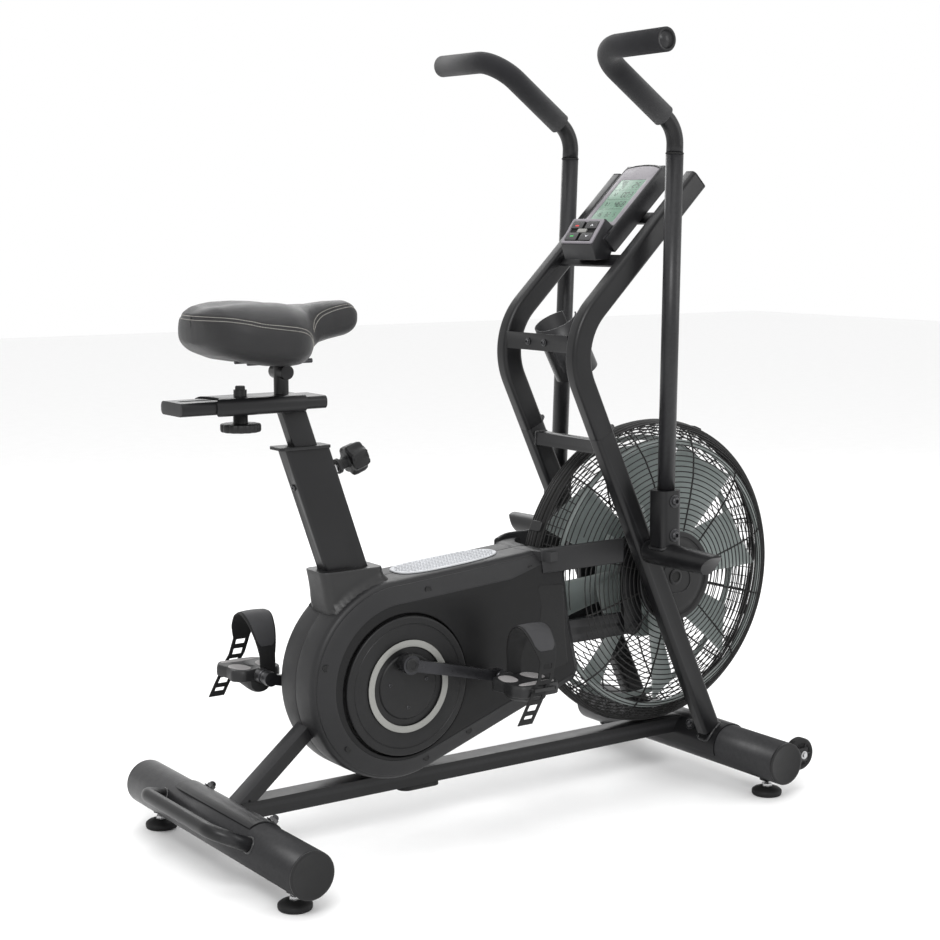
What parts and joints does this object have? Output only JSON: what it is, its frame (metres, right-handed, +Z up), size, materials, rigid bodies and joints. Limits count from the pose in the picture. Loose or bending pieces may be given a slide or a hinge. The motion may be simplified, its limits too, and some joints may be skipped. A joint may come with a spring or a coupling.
{
  "type": "air bike",
  "caption": "Upright fan-resisted exercise bike with swinging hand levers, caged fan, strapped pedals, adjustable padded seat and tilted console.",
  "frame": {"origin": "centre of the bounding box, on the floor", "axes": "+X towards the fan (forwards), +Y to the rider's left, +Z up"},
  "size_m": [1.321, 0.6856, 1.3962],
  "materials": {
    "frame_paint": "satin charcoal powder coat",
    "cover_plastic": "fine grained dark plastic",
    "cap_plastic": "matte dark plastic",
    "rubber_black": "matte black rubber",
    "foam_black": "closed cell foam, dark grey",
    "steel_dark": "blackened steel",
    "steel_axle": "bright turned steel",
    "guard_wire": "black coated wire",
    "fan_panel": "grey green coated sheet",
    "ring_silver": "satin silver grey",
    "pad_grey": "light grey textured pad",
    "pedal_black": "moulded dark plastic",
    "seat_cover": "charcoal synthetic leather with light stitching",
    "console_shell": "dark grey moulded plastic",
    "console_lcd": "grey green liquid crystal display",
    "key_black": "black membrane keys"
  },
  "bodies": {
    "frame": {"rear_stabilizer": "frame_paint", "transport_handle": "frame_paint", "front_stabilizer": "frame_paint", "stabilizer_caps": "cap_plastic", "wheel_brackets": "frame_paint", "main_frame": "frame_paint", "beam_pad": "rubber_black", "stabilizer_bolts": "steel_dark", "upper_mast": "frame_paint", "mast_caps": "cap_plastic", "bottle_holder": "cap_plastic", "cover_right": "cover_plastic", "cover_left": "cover_plastic", "seat_tube_boot": "cover_plastic", "step_pad": "pad_grey", "guard_right": "guard_wire", "guard_left": "guard_wire", "hub_covers": "cap_plastic", "fan_axle": "steel_axle", "seat_tube_bushing": "cap_plastic", "console_housing": "console_shell", "keypad_bezel": "key_black", "lcd_screen": "console_lcd"},
    "crank": {"crank_discs": "cap_plastic", "crank_rings": "ring_silver", "crank_arm_right": "steel_dark", "crank_arm_left": "steel_dark"},
    "right_pedal": {"pedal_right": "pedal_black", "strap_right": "rubber_black"},
    "left_pedal": {"pedal_left": "pedal_black", "strap_left": "rubber_black"},
    "fan_wheel": {"fan": "fan_panel"},
    "right_arm": {"arm_lower_right": "frame_paint", "arm_post_right": "frame_paint", "handlebar_right": "frame_paint", "grip_right": "foam_black"},
    "left_arm": {"arm_lower_left": "frame_paint", "arm_post_left": "frame_paint", "handlebar_left": "frame_paint", "grip_left": "foam_black"},
    "right_link": {"link_right": "frame_paint"},
    "left_link": {"link_left": "frame_paint"},
    "seat_height_post": {"seat_post": "frame_paint", "seat_rail": "frame_paint"},
    "height_pull_knob": {"height_knob": "cap_plastic"},
    "seat_slider": {"seat_carriage": "frame_paint", "seat_clamp": "steel_dark", "seat_cushion": "seat_cover"},
    "slider_knob": {"carriage_knob": "cap_plastic"},
    "right_wheel": {"wheel_right": "rubber_black"},
    "left_wheel": {"wheel_left": "rubber_black"},
    "rear_right_foot": {"foot_rear_right": "rubber_black"},
    "rear_left_foot": {"foot_rear_left": "rubber_black"},
    "front_right_foot": {"foot_front_right": "rubber_black"},
    "front_left_foot": {"foot_front_left": "rubber_black"},
    "upper_left_key": {"key_top_left": "key_black"},
    "upper_right_key": {"key_top_right": "key_black"},
    "lower_left_key": {"key_low_left": "key_black"},
    "lower_right_key": {"key_low_right": "key_black"},
    "centre_key": {"key_centre": "key_black"}
  },
  "joints": [
    {"name": "crank_spin", "type": "hinge", "parent": "frame", "child": "crank", "pos_m": [-0.2421, 0, 0.2782], "axis": [0, 1, 0], "continuous": true},
    {"name": "fan_spin", "type": "hinge", "parent": "frame", "child": "fan_wheel", "pos_m": [0.3635, 0, 0.4045], "axis": [0, 1, 0], "continuous": true},
    {"name": "right_pedal_spin", "type": "hinge", "parent": "crank", "child": "right_pedal", "pos_m": [-0.0665, -0.18, 0.276], "axis": [0, 1, 0], "continuous": true},
    {"name": "left_pedal_spin", "type": "hinge", "parent": "crank", "child": "left_pedal", "pos_m": [-0.4177, 0.18, 0.2804], "axis": [0, 1, 0], "continuous": true},
    {"name": "right_arm_swing", "type": "hinge", "parent": "frame", "child": "right_arm", "pos_m": [0.2635, -0.162, 0.47], "axis": [0, 1, 0], "range_deg": [-16.8, 18.1]},
    {"name": "left_arm_swing", "type": "hinge", "parent": "frame", "child": "left_arm", "pos_m": [0.2635, 0.162, 0.47], "axis": [0, 1, 0], "range_deg": [-18.2, 16.9]},
    {"name": "right_link_pin", "type": "hinge", "parent": "right_arm", "child": "right_link", "pos_m": [0.27318, -0.052, 0.3221], "axis": [0, 1, 0], "range_deg": [-18.2, 16.9]},
    {"name": "left_link_pin", "type": "hinge", "parent": "left_arm", "child": "left_link", "pos_m": [0.26982, 0.052, 0.32192], "axis": [0, 1, 0], "range_deg": [-16.9, 18.2]},
    {"name": "seat_height", "type": "slide", "parent": "frame", "child": "seat_height_post", "axis": [-0.3315, 0, 0.9435], "range_m": [-0.05, 0.1]},
    {"name": "height_knob_pull", "type": "slide", "parent": "frame", "child": "height_pull_knob", "axis": [0.9435, 0, 0.3315], "range_m": [0, 0.012], "stiffness_N_per_m": 1500, "springref_m": -0.004},
    {"name": "seat_fore_aft", "type": "slide", "parent": "seat_height_post", "child": "seat_slider", "axis": [1, 0, 0], "range_m": [-0.055, 0.025]},
    {"name": "slider_knob_turn", "type": "hinge", "parent": "seat_slider", "child": "slider_knob", "pos_m": [-0.5185, 0, 0.74], "axis": [0, 0, 1], "range_deg": [-270, 0]},
    {"name": "right_wheel_spin", "type": "hinge", "parent": "frame", "child": "right_wheel", "pos_m": [0.5362, -0.247, 0.068], "axis": [0, 1, 0], "continuous": true},
    {"name": "left_wheel_spin", "type": "hinge", "parent": "frame", "child": "left_wheel", "pos_m": [0.5362, 0.247, 0.068], "axis": [0, 1, 0], "continuous": true},
    {"name": "rear_right_foot_level", "type": "slide", "parent": "frame", "child": "rear_right_foot", "axis": [0, 0, -1], "range_m": [0, 0.012]},
    {"name": "rear_left_foot_level", "type": "slide", "parent": "frame", "child": "rear_left_foot", "axis": [0, 0, -1], "range_m": [0, 0.012]},
    {"name": "front_right_foot_level", "type": "slide", "parent": "frame", "child": "front_right_foot", "axis": [0, 0, -1], "range_m": [0, 0.012]},
    {"name": "front_left_foot_level", "type": "slide", "parent": "frame", "child": "front_left_foot", "axis": [0, 0, -1], "range_m": [0, 0.012]},
    {"name": "upper_left_key_press", "type": "slide", "parent": "frame", "child": "upper_left_key", "axis": [0.8184, 0, -0.5746], "range_m": [0, 0.001], "stiffness_N_per_m": 400, "springref_m": -0.0005},
    {"name": "upper_right_key_press", "type": "slide", "parent": "frame", "child": "upper_right_key", "axis": [0.8184, 0, -0.5746], "range_m": [0, 0.001], "stiffness_N_per_m": 400, "springref_m": -0.0005},
    {"name": "lower_left_key_press", "type": "slide", "parent": "frame", "child": "lower_left_key", "axis": [0.8184, 0, -0.5746], "range_m": [0, 0.001], "stiffness_N_per_m": 400, "springref_m": -0.0005},
    {"name": "lower_right_key_press", "type": "slide", "parent": "frame", "child": "lower_right_key", "axis": [0.8184, 0, -0.5746], "range_m": [0, 0.001], "stiffness_N_per_m": 400, "springref_m": -0.0005},
    {"name": "centre_key_press", "type": "slide", "parent": "frame", "child": "centre_key", "axis": [0.8184, 0, -0.5746], "range_m": [0, 0.001], "stiffness_N_per_m": 400, "springref_m": -0.0005}
  ],
  "couplings": [
    {"joint": "left_arm_swing", "follows": "right_arm_swing", "ratio": -1},
    {"joint": "right_link_pin", "follows": "right_arm_swing", "ratio": -1},
    {"joint": "left_link_pin", "follows": "right_arm_swing", "ratio": 1},
    {"joint": "fan_spin", "follows": "crank_spin", "ratio": 6}
  ]
}
